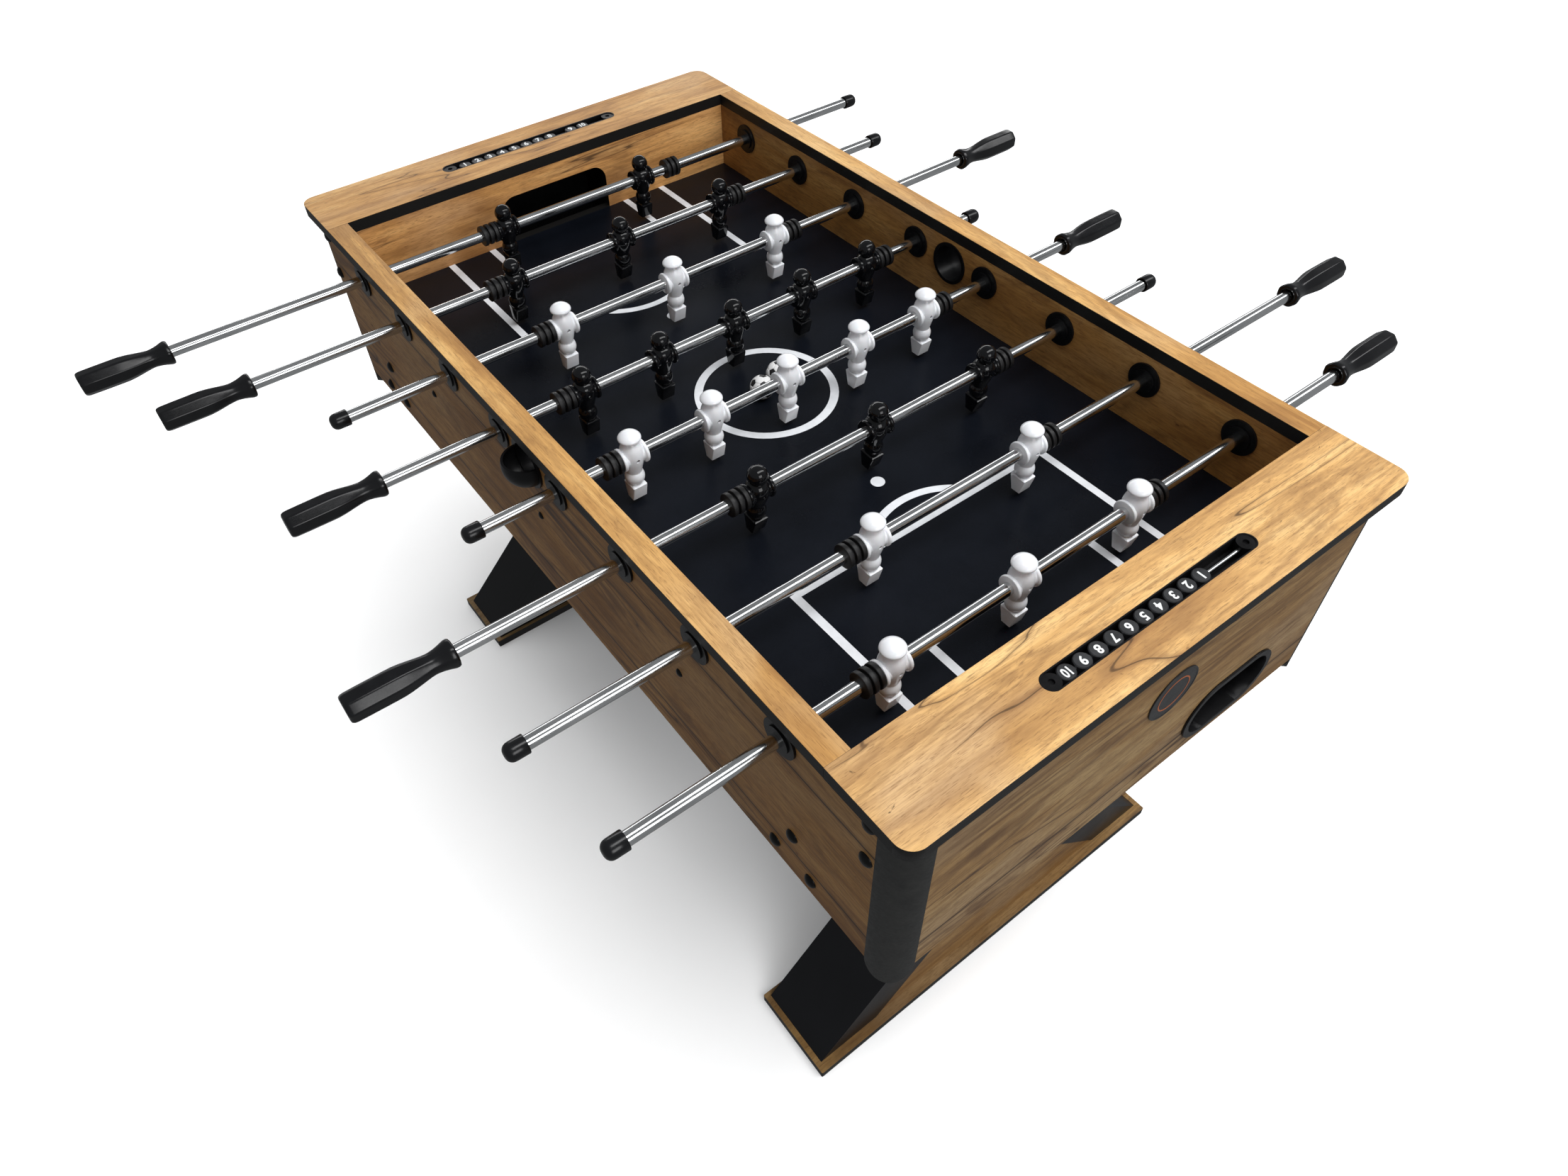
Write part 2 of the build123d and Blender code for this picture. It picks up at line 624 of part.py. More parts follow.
def all_nodes():
    bearings = []
    for row in range(1, ROD_COUNT + 1):
        halves = bearing(row)
        bearings += halves + [other_side(half) for half in halves]
    cups = serve_cup()
    post = corner_post()
    side = side_panel()
    frame = leg_frame()
    base = leg_base()
    infills = leg_infills()
    nodes = {
        "side_panel_front": [other_side(side)],
        "side_panel_rear": [side],
        "end_panel_near": [end_panel()],
        "end_panel_far": [far(end_panel())],
        "goal_wall_near": [goal_wall()],
        "goal_wall_far": [far(goal_wall())],
        "top_rail_front": [other_side(top_rail())],
        "top_rail_rear": [top_rail()],
        "top_board_near": [top_board()],
        "top_board_far": [far(top_board())],
        "playfield": playfield(),
        "corner_posts": [post, other_side(post), far(post), far(other_side(post))],
        "rod_bearings": bearings,
        "serve_cups": cups + [other_side(cup) for cup in cups],
        "goal_pockets": [goal_pocket(), far(goal_pocket())],
        "return_rims": [return_rim(), far(return_rim())],
        "score_trays": [score_tray(), far(score_tray())],
        "score_rods": [score_rod(), far(score_rod())],
        "beads_near": [bead(73.9 - BEAD_PITCH * i) for i in range(10)],
        "beads_far_low": [far(bead(120.8 - BEAD_PITCH * i)) for i in range(8)],
        "beads_far_high": [far(bead(-74.5 - BEAD_PITCH * i)) for i in range(2)],
        "ball_a": [ball(6, -12)],
        "ball_b": [ball(-6, 25)],
        "leg_frame_near": frame,
        "leg_frame_far": [far(board) for board in frame],
        "leg_bases": [base, far(base)],
        "leg_infills": infills + [far(board) for board in infills],
        "panel_bolts": panel_bolts(),
    }
    figures = {team: figure(team) for team in ("white", "black")}
    for row in range(1, ROD_COUNT + 1):
        nodes.update(player_row(row, figures))
    return nodes


os.makedirs("parts", exist_ok=True)
for node, solids in all_nodes().items():
    shape = solids[0] if len(solids) == 1 else Compound(children=solids)
    export_step(shape, f"parts/{node}.step")
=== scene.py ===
import bmesh
import bpy
from math import acos, cos, degrees, pi, radians, sin, tau
from mathutils import Matrix, Vector


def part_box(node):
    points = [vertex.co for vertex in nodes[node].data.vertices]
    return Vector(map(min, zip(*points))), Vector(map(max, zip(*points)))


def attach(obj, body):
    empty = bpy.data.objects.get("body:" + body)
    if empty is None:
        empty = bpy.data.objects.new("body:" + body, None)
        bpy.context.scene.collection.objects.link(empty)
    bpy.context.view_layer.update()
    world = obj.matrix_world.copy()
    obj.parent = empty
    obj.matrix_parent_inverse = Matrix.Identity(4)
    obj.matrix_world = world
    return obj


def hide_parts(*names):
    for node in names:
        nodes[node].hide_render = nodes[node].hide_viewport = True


# The looks of the foosball table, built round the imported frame. Z up, near end at +X, metres unless a line says mm.

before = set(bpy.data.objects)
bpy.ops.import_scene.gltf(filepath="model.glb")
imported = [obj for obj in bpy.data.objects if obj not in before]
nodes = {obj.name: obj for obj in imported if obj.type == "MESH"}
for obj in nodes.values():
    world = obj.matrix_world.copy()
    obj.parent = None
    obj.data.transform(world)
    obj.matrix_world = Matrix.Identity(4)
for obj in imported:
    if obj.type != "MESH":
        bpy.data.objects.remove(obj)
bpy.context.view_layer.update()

MM = 0.001

# What each row of players is: team, figures, turn at rest in degrees, side its handle is on
ROWS = {
    1: ("black", 2, 0, -1),
    2: ("black", 3, 5, -1),
    3: ("white", 3, 0, 1),
    4: ("black", 5, 0, -1),
    5: ("white", 5, 0, 1),
    6: ("black", 3, 5, -1),
    7: ("white", 2, 0, 1),
    8: ("white", 3, 0, 1),
}
FIGURE_HALF = 18 * MM
BEAD_RADIUS = 10 * MM

# In mm, for the outlines of turned pieces
ROD_RADIUS = 8
BUMPER_HALF = 12.25
HANDLE_LENGTH = 120
CAP_LENGTH = 24

# Sides of turned pieces
ROUND = 48
TUBE_ROUND = 96
SMALL_ROUND = 24
BADGE_ROUND = 72


# Materials

class Graph:
    """One material's nodes, with short calls for the kinds used here."""

    def __init__(self, name, roughness=0.5, **plain):
        self.material = bpy.data.materials.new(name)
        self.material.use_nodes = True
        self.tree = self.material.node_tree
        self.shader = self.tree.nodes["Principled BSDF"]
        self.set(Roughness=roughness, **plain)

    def set(self, **plain):
        """Values that are the same all over, on the shader's own sockets."""
        for key, value in plain.items():
            self.shader.inputs[key.replace("_", " ")].default_value = value

    def node(self, kind, **settings):
        made = self.tree.nodes.new("ShaderNode" + kind)
        for key, value in settings.items():
            setattr(made, key, value)
        return made

    def feed(self, target, source):
        """Links a socket, or sets a plain number or colour."""
        if isinstance(source, bpy.types.NodeSocket):
            self.tree.links.new(source, target)
        elif isinstance(source, tuple):
            target.default_value = (*source, 1)
        else:
            target.default_value = source

    def place(self, scale=(1, 1, 1), shift=(0, 0, 0)):
        """The place on the object, stretched."""
        mapping = self.node("Mapping")
        mapping.inputs["Scale"].default_value = scale
        mapping.inputs["Location"].default_value = shift
        self.feed(mapping.inputs["Vector"], self.node("TexCoord").outputs["Object"])
        return mapping.outputs["Vector"]

    def noise(self, place, scale, detail=4, roughness=0.55, distortion=0):
        made = self.node("TexNoise")
        self.feed(made.inputs["Vector"], place)
        self.feed(made.inputs["Scale"], scale)
        self.feed(made.inputs["Detail"], detail)
        self.feed(made.inputs["Roughness"], roughness)
        self.feed(made.inputs["Distortion"], distortion)
        return made.outputs["Fac"]

    def sum(self, operation, first, second=0.0):
        """One step of arithmetic."""
        made = self.node("Math", operation=operation)
        self.feed(made.inputs[0], first)
        self.feed(made.inputs[1], second)
        return made.outputs[0]

    def blend(self, first, share, second):
        """Two values added up, with a share of the first and the rest of the second."""
        return self.sum("ADD", self.sum("MULTIPLY", first, share), self.sum("MULTIPLY", second, round(1 - share, 2)))

    def facing(self):
        """The way the surface faces."""
        return self.node("NewGeometry").outputs["True Normal"]

    def part(self, vector, axis):
        """A vector's part along one axis."""
        made = self.node("SeparateXYZ")
        self.feed(made.inputs[0], vector)
        return made.outputs[axis]

    def fade(self, value, low, high, start=0.0, end=1.0):
        """start below low, end above high, smooth between."""
        made = self.node("MapRange", interpolation_type="SMOOTHSTEP")
        for socket, amount in zip(made.inputs, (value, low, high, start, end)):
            self.feed(socket, amount)
        return made.outputs[0]

    def ramp(self, value, *stops):
        """A colour that changes with value, from (place, colour) stops."""
        made = self.node("ValToRGB")
        elements = made.color_ramp.elements
        while len(elements) < len(stops):
            elements.new(0.5)
        for element, (place, colour) in zip(elements, stops):
            element.position = place
            element.color = (*colour, 1)
        self.feed(made.inputs[0], value)
        return made.outputs[0]

    def mix(self, amount, first, second):
        """The first colour with an amount of the second over it."""
        made = self.node("Mix", data_type="RGBA")
        # The node has sockets for every data type, and 6, 7 and 2 are those for colours
        for at, source in ((0, amount), (6, first), (7, second)):
            self.feed(made.inputs[at], source)
        return made.outputs[2]

    def shine(self, value, low, high):
        """Roughness that varies from low to high."""
        self.feed(self.shader.inputs["Roughness"], self.fade(value, 0.25, 0.75, low, high))

    def bump(self, height, strength, distance):
        made = self.node("Bump")
        made.inputs["Strength"].default_value = strength
        made.inputs["Distance"].default_value = distance
        self.feed(made.inputs["Height"], height)
        self.feed(self.shader.inputs["Normal"], made.outputs[0])

    def colour(self, source):
        self.feed(self.shader.inputs["Base Color"], source)


EDGE_BLACK = (0.010, 0.0095, 0.009)


def oak(name, along, tone_and_painted_light, contrast=1.0, seams=(), banded=None):
    """Printed rustic oak laminate with its grain along one axis, dark seams between printed planks at some
    heights on the outside, and black edging on the faces that aren't square to the banded axis. Its tone multiplies
    its colours and paints in the light and shade that the board gets; contrast sets the strength of its darker marks."""
    g = Graph(name, Specular_IOR_Level=0.22)

    def grain(stretch, scale, detail, roughness, distortion, shift=0.0):
        place = g.place(tuple(stretch if axis == along else 1 for axis in "XYZ"), (shift, shift, shift))
        return g.noise(place, scale, detail, roughness, distortion)

    def contour(field, level, narrow, wide):
        """1 where a noise is at a level, fading to 0 beside that line."""
        away = g.sum("ABSOLUTE", g.sum("SUBTRACT", field, level))
        return g.fade(away, narrow, wide, 1.0, 0.0)

    # Colours scaled by the tone, which holds the board's painted light and shade
    def toned(*colour):
        return tuple(channel * part for channel, part in zip(colour, tone_and_painted_light))

    # The broad figure with finer streaks
    broad = grain(0.30, 8, 4, 0.55, 0.6)
    streak = grain(0.07, 52, 5, 0.62, 0.25, 3.1)
    wood = g.ramp(
        g.blend(broad, 0.55, streak),
        (0.36, toned(0.330, 0.178, 0.068)),
        (0.44, toned(0.480, 0.280, 0.108)),
        (0.52, toned(0.625, 0.385, 0.155)),
        (0.61, toned(0.770, 0.525, 0.240)),
    )
    # Pale patches, short flecks, fine fibres and dark clouds
    pale = g.fade(grain(0.45, 6.5, 3, 0.5, 0.3, 17.3), 0.50, 0.66, 0.0, 0.45)
    wood = g.mix(pale, wood, toned(0.70, 0.52, 0.32))
    fleck = grain(0.16, 260, 3, 0.6, 0.2, 21.0)
    wood = g.mix(g.fade(fleck, 0.54, 0.36, 0.0, 0.30 * contrast), wood, toned(0.30, 0.165, 0.07))
    fibre = grain(0.03, 820, 3, 0.6, 0.0, 5.7)
    wood = g.mix(g.fade(fibre, 0.55, 0.33, 0.0, 0.30), wood, toned(0.25, 0.135, 0.058))
    cloud = g.fade(grain(0.30, 15, 5, 0.62, 1.0, 8.2), 0.53, 0.70, 0.0, 0.62 * contrast)
    wood = g.mix(cloud, wood, toned(0.27, 0.150, 0.065))
    # Growth lines with soft shadows, in some places only, and one of them split open
    mask = g.fade(grain(0.5, 5, 2, 0.5, 0.0, 9.3), 0.42, 0.54)
    bands = grain(0.10, 10, 3, 0.5, 0.8, 1.7)
    split_level = 0.57
    for level, strength in ((split_level, 0.50), (0.50, 0.35), (0.43, 0.45)):
        shadow = g.sum("MULTIPLY", contour(bands, level, 0.002, 0.020), mask)
        wood = g.mix(g.sum("MULTIPLY", shadow, strength * contrast), wood, toned(0.20, 0.105, 0.048))
    crack = g.sum("MULTIPLY", contour(bands, split_level, 0.0006, 0.0035), mask)
    wood = g.mix(g.sum("MULTIPLY", crack, 0.75), wood, (0.055, 0.032, 0.019))
    # Smudges, small knots and open pores
    smudge = g.fade(grain(0.36, 34, 6, 0.70, 1.6, 12.4), 0.62, 0.73, 0.0, 0.60 * contrast)
    wood = g.mix(smudge, wood, toned(0.17, 0.085, 0.040))
    knot = g.fade(grain(0.50, 40, 5, 0.66, 2.6, 14.9), 0.69, 0.76, 0.0, 0.85)
    wood = g.mix(knot, wood, (0.045, 0.025, 0.014))
    pores = g.fade(grain(0.07, 1150, 2, 0.5, 0.2, 2.9), 0.58, 0.68, 0.0, 0.50)
    wood = g.mix(pores, wood, toned(0.17, 0.088, 0.040))
    height = g.sum("SUBTRACT", g.sum("MULTIPLY", fibre, 0.6), g.sum("ADD", pores, crack))
    if seams:
        # A face is outside where it turns away from the middle of the table. The seams wander by 1.2 mm.
        outward = g.node("VectorMath", operation="DOT_PRODUCT")
        g.feed(outward.inputs[0], g.place())
        g.feed(outward.inputs[1], g.facing())
        outside = g.fade(outward.outputs["Value"], 0, 0.1)
        wander = g.sum("MULTIPLY", grain(0.4, 9, 2, 0.5, 0.0, 6.6), 2.4 * MM)
        level = g.sum("ADD", g.part(g.place(), "Z"), wander)
        for seam in seams:
            away = g.sum("ABSOLUTE", g.sum("SUBTRACT", level, seam + 1.2 * MM))
            beside = g.sum("MULTIPLY", g.fade(away, 1.0 * MM, 9 * MM, 0.45, 0.0), outside)
            wood = g.mix(beside, wood, toned(0.17, 0.09, 0.045))
            line = g.sum("MULTIPLY", g.fade(away, 0.6 * MM, 1.8 * MM, 0.9, 0.0), outside)
            wood = g.mix(line, wood, (0.022, 0.014, 0.009))
            height = g.sum("SUBTRACT", height, line)
    if banded:
        square = g.fade(g.sum("ABSOLUTE", g.part(g.facing(), banded)), 0.55, 0.8)
        wood = g.mix(square, EDGE_BLACK, wood)
    g.colour(wood)
    g.shine(g.blend(fibre, 0.6, broad), 0.56, 0.40)
    g.bump(height, 0.20, 0.25 * MM)
    return g.material


def black_board(name, colour, lowest=0.30, highest=0.44, level=0.30):
    """Dark laminate with a faint pressed grain and fine dust."""
    g = Graph(name, Specular_IOR_Level=level)
    grain = g.noise(g.place(), 420, 4, 0.6)
    cloud = g.noise(g.place(), 6, 4, 0.6)
    dark = tuple(channel * 0.7 for channel in colour)
    light = tuple(channel * 1.35 for channel in colour)
    tint = g.ramp(g.blend(cloud, 0.7, grain), (0.35, dark), (0.65, light))
    dust = g.fade(g.noise(g.place(shift=(4, 4, 4)), 140, 5, 0.7, 0.4), 0.74, 0.84, 0.0, 0.16)
    g.colour(g.mix(dust, tint, tuple(2.5 * channel + 0.006 for channel in colour)))
    g.shine(cloud, lowest, highest)
    g.bump(grain, 0.12, 0.12 * MM)
    return g.material


def moulded(name, colour, low, high, grain=600, strength=0.10, speck=1.4, **plain):
    """Moulded plastic or rubber: slightly uneven colour, a fine skin, and gloss that varies."""
    g = Graph(name, **plain)
    cloud = g.noise(g.place(), 55, 4, 0.6)
    skin = g.noise(g.place(), grain, 3, 0.6)
    dark = tuple(channel / speck for channel in colour)
    light = tuple(min(1.0, channel * speck) for channel in colour)
    g.colour(g.ramp(cloud, (0.3, dark), (0.7, light)))
    g.shine(g.blend(cloud, 0.6, skin), low, high)
    g.bump(skin, strength, 0.10 * MM)
    return g.material


def chrome(name):
    """Bright plated tube with faint polishing lines along it and a few dull smudges."""
    g = Graph(name, Metallic=1.0)
    smudge = g.noise(g.place((1, 0.4, 1)), 38, 4, 0.6)
    wipe = g.noise(g.place((1, 0.05, 1)), 160, 3, 0.6)
    g.colour(g.ramp(smudge, (0.30, (0.60, 0.615, 0.62)), (0.62, (0.80, 0.81, 0.815))))
    g.shine(g.blend(wipe, 0.4, smudge), 0.10, 0.20)
    g.bump(wipe, 0.02, 0.02 * MM)
    return g.material


# Heights of the seams between printed planks
LOW_SEAM = 0.616
HIGH_SEAM = 0.785

# The tones in these oak calls paint in the light and shade of one laminate: darker and warmer for faces in shade, such
# as the sides, end panels, leg infills and leg bases, and lighter for the lit near board and goal walls.
OAK_TOP_ENDS = oak("oak_end_boards", "Y", (1.07, 1.04, 1.0), banded="Z")
OAK_TOP_FAR = oak("oak_far_board", "Y", (0.88, 0.79, 0.70), 0.7, banded="Z")
OAK_TOP_RAILS = oak("oak_rails", "X", (1.0, 0.92, 0.78), 0.8, banded="Z")
OAK_SIDES = oak("oak_sides", "X", (0.68, 0.54, 0.37), 1.4, seams=(LOW_SEAM, HIGH_SEAM))
OAK_ENDS = oak("oak_end_panels", "Y", (0.55, 0.53, 0.52), 1.3, seams=(LOW_SEAM,))
OAK_GOALS = oak("oak_goal_walls", "Y", (1.20, 1.0, 0.84), 0.9, banded="X")
OAK_LEGS = oak("oak_leg_infills", "Y", (0.58, 0.52, 0.46), 1.1)
OAK_BASES = oak("oak_leg_bases", "Y", (0.46, 0.44, 0.40), banded="Z")
BLACK_BOARD = black_board("black_laminate_boards", (0.0050, 0.0053, 0.0068))
FIELD = black_board("field_laminate_board", (0.0046, 0.0058, 0.0090), lowest=0.26, highest=0.36, level=0.16)
CORNER = moulded("corner_moulding_plastic", (0.016, 0.016, 0.015), 0.34, 0.55, grain=240, strength=0.12, speck=1.9,
                 Specular_IOR_Level=0.28)
BLACK_PLASTIC = moulded("black_fittings_plastic", (0.0045, 0.0045, 0.0050), 0.28, 0.42, Specular_IOR_Level=0.20)
CHROME = chrome("chromed_steel_tube")
WHITE_PLAYER = moulded("white_player_plastic", (0.80, 0.81, 0.84), 0.16, 0.27, grain=350, strength=0.05,
                       speck=1.03, Coat_Weight=0.25, Coat_Roughness=0.08, Subsurface_Weight=0.04)
BLACK_PLAYER = moulded("black_player_plastic", (0.0030, 0.0032, 0.0040), 0.07, 0.14, grain=350, strength=0.02,
                       speck=1.2, Specular_IOR_Level=0.30, Coat_Weight=0.2, Coat_Roughness=0.04)
GRIP = moulded("grip_rubber_satin", (0.0035, 0.0037, 0.0045), 0.17, 0.27, grain=520, strength=0.05,
               Specular_IOR_Level=0.45)
RUBBER = moulded("bumper_rubber_matte", (0.006, 0.006, 0.0065), 0.40, 0.58, grain=700, strength=0.2)
BALL_WHITE = moulded("ball_white_plastic", (0.76, 0.76, 0.76), 0.25, 0.36, speck=1.05)
BALL_BLACK = moulded("ball_black_plastic", (0.008, 0.008, 0.009), 0.28, 0.40)
BOLT = moulded("bolt_black_finish", (0.0040, 0.0040, 0.0040), 0.26, 0.38, grain=300, strength=0.10,
               Specular_IOR_Level=0.18)
BEAD = moulded("bead_plastic_grey", (0.022, 0.023, 0.025), 0.32, 0.46)
DIGIT = moulded("digit_paint_white", (0.78, 0.80, 0.80), 0.35, 0.50, speck=1.10)
LINE_PAINT = moulded("line_paint_white", (0.72, 0.74, 0.77), 0.30, 0.42, grain=300, strength=0.10, speck=1.08)
SCREW = moulded("screw_zinc_finish", (0.55, 0.55, 0.56), 0.18, 0.35, speck=1.1, Metallic=1.0)
BADGE_FACE = moulded("badge_face_grey", (0.013, 0.013, 0.014), 0.30, 0.45, Specular_IOR_Level=0.4)
BADGE_RING = moulded("badge_ring_orange", (0.42, 0.11, 0.03), 0.35, 0.5, speck=1.1)


# Mesh helpers

def skin_mesh(name, bm, materials, sharp=40):
    """A new mesh from a bmesh, smooth but for edges sharper than an angle in degrees."""
    mesh = bpy.data.meshes.new(name)
    bm.normal_update()
    bm.to_mesh(mesh)
    bm.free()
    mesh.shade_smooth()
    mesh.set_sharp_from_angle(angle=radians(sharp))
    for material in materials:
        mesh.materials.append(material)
    return mesh


def scene_object(name, data):
    """A new object in the scene, from a mesh, a curve, a light or a camera."""
    made = bpy.data.objects.new(name, data)
    bpy.context.scene.collection.objects.link(made)
    return made


def mesh_object(name, bm, materials, sharp=40):
    return scene_object(name, skin_mesh(name, bm, materials, sharp))


def rings_to_faces(bm, rings, material=0):
    """Joins rings of points, one after another, into a skin, and closes its two ends."""
    loops = [[bm.verts.new(point) for point in ring] for ring in rings]
    for low, high in zip(loops, loops[1:]):
        count = len(low)
        for i in range(count):
            j = (i + 1) % count
            face = bm.faces.new((low[i], low[j], high[j], high[i]))
            face.material_index = material
    for loop, backwards in ((loops[0], True), (loops[-1], False)):
        face = bm.faces.new(list(reversed(loop)) if backwards else loop)
        face.material_index = material
    return bm


def turned(profile, axis="Z", sides=ROUND, bm=None, material=0, centre=(0, 0, 0)):
    """A turned solid from (radius, along) points in mm, about an axis through centre."""
    bm = bm or bmesh.new()
    middle = Vector(centre)
    smallest = 0.02  # mm, so that the points on the axis stay apart
    rings = []
    for radius, along in profile:
        ring = []
        for i in range(sides):
            angle = tau * i / sides
            a = max(radius, smallest) * MM * cos(angle)
            b = max(radius, smallest) * MM * sin(angle)
            point = {"X": (along * MM, a, b), "Y": (b, along * MM, a), "Z": (a, b, along * MM)}[axis]
            ring.append(middle + Vector(point))
        rings.append(ring)
    return rings_to_faces(bm, rings, material=material)


def arc_points(centre, radius, start, end, steps):
    """Points on an arc in a profile, with angles in degrees from the radius axis."""
    cr, ca = centre
    points = []
    for i in range(steps + 1):
        angle = radians(start + (end - start) * i / steps)
        points.append((cr + radius * cos(angle), ca + radius * sin(angle)))
    return points


def smooth_profile(points, steps):
    """A smooth line through profile points (a Catmull-Rom spline), with some steps between each two."""
    line = [points[0]]
    for i in range(len(points) - 1):
        before = points[max(i - 1, 0)]
        start = points[i]
        end = points[i + 1]
        after = points[min(i + 2, len(points) - 1)]
        for s in range(1, steps + 1):
            t = s / steps
            line.append(tuple(
                0.5 * (2 * b + (c - a) * t + (2 * a - 5 * b + 4 * c - d) * t ** 2 + (3 * b - a - 3 * c + d) * t ** 3)
                for a, b, c, d in zip(before, start, end, after)
            ))
    return line


def evaluated_mesh(source):
    """The mesh an object has after its modifiers, or the mesh of a text."""
    bpy.context.view_layer.update()
    return bpy.data.meshes.new_from_object(source.evaluated_get(bpy.context.evaluated_depsgraph_get()))


def joined(target, cutter, operation):
    """target's mesh after a boolean with cutter, which is used up."""
    modifier = target.modifiers.new(operation, "BOOLEAN")
    modifier.object = cutter
    modifier.operation = operation
    modifier.solver = "EXACT"
    result = evaluated_mesh(target)
    target.modifiers.clear()
    target.data = result
    bpy.data.objects.remove(cutter)
    return target


def soften(node, width):
    """Rounds a CAD node's edges a little, by a width in mm."""
    weld = nodes[node].modifiers.new("weld", "WELD")
    weld.merge_threshold = 0.01 * MM
    bevel = nodes[node].modifiers.new("bevel", "BEVEL")
    bevel.width = width * MM
    bevel.segments = 2
    bevel.limit_method = "ANGLE"
    bevel.angle_limit = radians(35)
    bevel.harden_normals = True


# CAD nodes that stay, with their own finish

KEPT = {
    "side_panel_front": OAK_SIDES,
    "side_panel_rear": OAK_SIDES,
    "end_panel_near": OAK_ENDS,
    "end_panel_far": OAK_ENDS,
    "goal_wall_near": OAK_GOALS,
    "goal_wall_far": OAK_GOALS,
    "top_rail_front": OAK_TOP_RAILS,
    "top_rail_rear": OAK_TOP_RAILS,
    "top_board_near": OAK_TOP_ENDS,
    "top_board_far": OAK_TOP_FAR,
    "playfield": FIELD,
    "corner_posts": CORNER,
    "rod_bearings": BLACK_PLASTIC,
    "serve_cups": BLACK_PLASTIC,
    "goal_pockets": BLACK_PLASTIC,
    "return_rims": BLACK_PLASTIC,
    "score_trays": BLACK_PLASTIC,
    "score_rods": CHROME,
    "beads_near": BEAD,
    "beads_far_low": BEAD,
    "beads_far_high": BEAD,
    "leg_frame_near": BLACK_BOARD,
    "leg_frame_far": BLACK_BOARD,
    "leg_bases": OAK_BASES,
    "leg_infills": OAK_LEGS,
    "panel_bolts": BOLT,
}
for node, finish in KEPT.items():
    slots = nodes[node].data.materials
    slots.clear()
    slots.append(finish)

for node in ("top_board_near", "top_board_far", "top_rail_front", "top_rail_rear"):
    soften(node, 0.8)
for node in ("leg_bases", "leg_infills", "leg_frame_near", "leg_frame_far", "return_rims", "score_trays"):
    soften(node, 0.5)


# Players

def white_body():
    """A white player's body about Z: a wide flat cap, a neck, a trunk, hips and an ankle, in mm."""
    cap = [(0, 37), (3.8, 36.7), (7.6, 35.5), (10.8, 33.6), (13.2, 31.4), (14.5, 29.4)]
    rim = [(14.7, 28.3), (14.4, 27.2), (13.3, 26.5), (11.2, 26.1), (9.6, 25.4)]
    trunk = [(9.2, 23.6), (11.4, 19.6), (14.2, 13), (15.5, 4), (14.6, -6), (12.4, -15), (10.4, -22.5)]
    hips = [(10.2, -24.2), (11.9, -27.6), (12.8, -32), (12.2, -37), (10.3, -41.2), (8.8, -43), (8.4, -47), (0, -48)]
    return smooth_profile(cap, 3) + smooth_profile(rim, 2)[1:] + smooth_profile(trunk, 3) + smooth_profile(hips, 3)


def black_body():
    """A black player's body about Z: a round head, a neck, a trunk, hips and an ankle, in mm."""
    head = [(0, 38.4)] + arc_points((0, 25.4), 13, 84, -42, 14)
    trunk = [(9.4, 15.6), (11.6, 13.6), (14.6, 9), (15.6, 1), (14.4, -8), (12.2, -16), (10.2, -22.5)]
    hips = [(10, -24.2), (11.7, -27.6), (12.6, -32), (12.0, -37), (10.2, -41.2), (8.8, -43), (8.4, -47), (0, -48)]
    return head + smooth_profile(trunk, 3) + smooth_profile(hips, 3)


def shoulders():
    """The arm barrel along the rod, with a round collar at each end, in mm."""
    end = 18
    half = [(12.2, 0), (12.6, 11.6), (13.4, 13.0), (14.9, 13.7), (15.5, 14.7), (15.5, 16.6), (14.9, 17.6), (13.9, end)]
    other = [(radius, -along) for radius, along in reversed(half[1:])]
    return [(0, -end)] + other + half + [(0, end)]


def foot():
    """The kicking foot: a wedge that is deep at the ankle and narrow at the toe, with rounded edges."""
    sections = [(9.5, 8.6, -42.4), (12, 10, -44), (12, 10, -45.5), (6.8, 10, -66), (5.6, 9, -67)]
    rings = []
    for half_x, half_y, z in sections:
        near = min(half_x, half_y) * 0.16
        corner = ((0, near), (near * 0.3, near * 0.3), (near, 0))
        ring = []
        for sx, sy in ((1, 1), (-1, 1), (-1, -1), (1, -1)):
            for dx, dy in corner if sx == sy else reversed(corner):
                ring.append(Vector((sx * (half_x - dx) * MM, sy * (half_y - dy) * MM, z * MM)))
        rings.append(ring)
    return rings_to_faces(bmesh.new(), rings)


def player_mesh(team):
    """One moulded player as a single skin, with the screw that holds it to the rod."""
    profile = white_body() if team == "white" else black_body()
    finish = WHITE_PLAYER if team == "white" else BLACK_PLAYER
    body = mesh_object(f"{team}_body", turned(list(reversed(profile))), [finish])
    body = joined(body, mesh_object("shoulders", turned(shoulders(), "Y"), [finish]), "UNION")
    body = joined(body, mesh_object("foot", foot(), [finish]), "UNION")
    hole = turned([(2.5, 8), (2.5, 20)], "X", SMALL_ROUND)
    body = joined(body, mesh_object("screw_hole", hole, [finish]), "DIFFERENCE")
    bm = bmesh.new()
    bm.from_mesh(body.data)
    screw = [(0, 9), (2.3, 9), (2.3, 13.2), (1.9, 13.9), (1.1, 14.1), (0.9, 13.2), (0, 13.2)]
    turned(screw, "X", SMALL_ROUND, bm, material=1)
    bpy.data.objects.remove(body)
    return skin_mesh(f"{team}_player", bm, [finish, SCREW], sharp=35)


def place_shared(name, data, place, body):
    """One of several pieces with the same mesh."""
    made = scene_object(name, data)
    made.matrix_world = place
    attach(made, body)
    return made


def octagon_ring(radius, y, rounding):
    """An eight-sided section about the Y axis, from 0 for flat sides to 1 for a circle, in mm. It has seven points
    round each corner, whose tip is cut off."""
    ring = []
    for corner in range(8):
        for off in (-11, -7, -3, 0, 3, 7, 11):
            angle = tau / 8 * (corner + 0.5) + radians(off)
            flat = 1 / cos(pi / 8 - radians(max(abs(off), 3)))
            reach = radius * (flat * (1 - rounding) + rounding * 1.03)
            ring.append(Vector((reach * sin(angle) * MM, y * MM, reach * cos(angle) * MM)))
    return ring


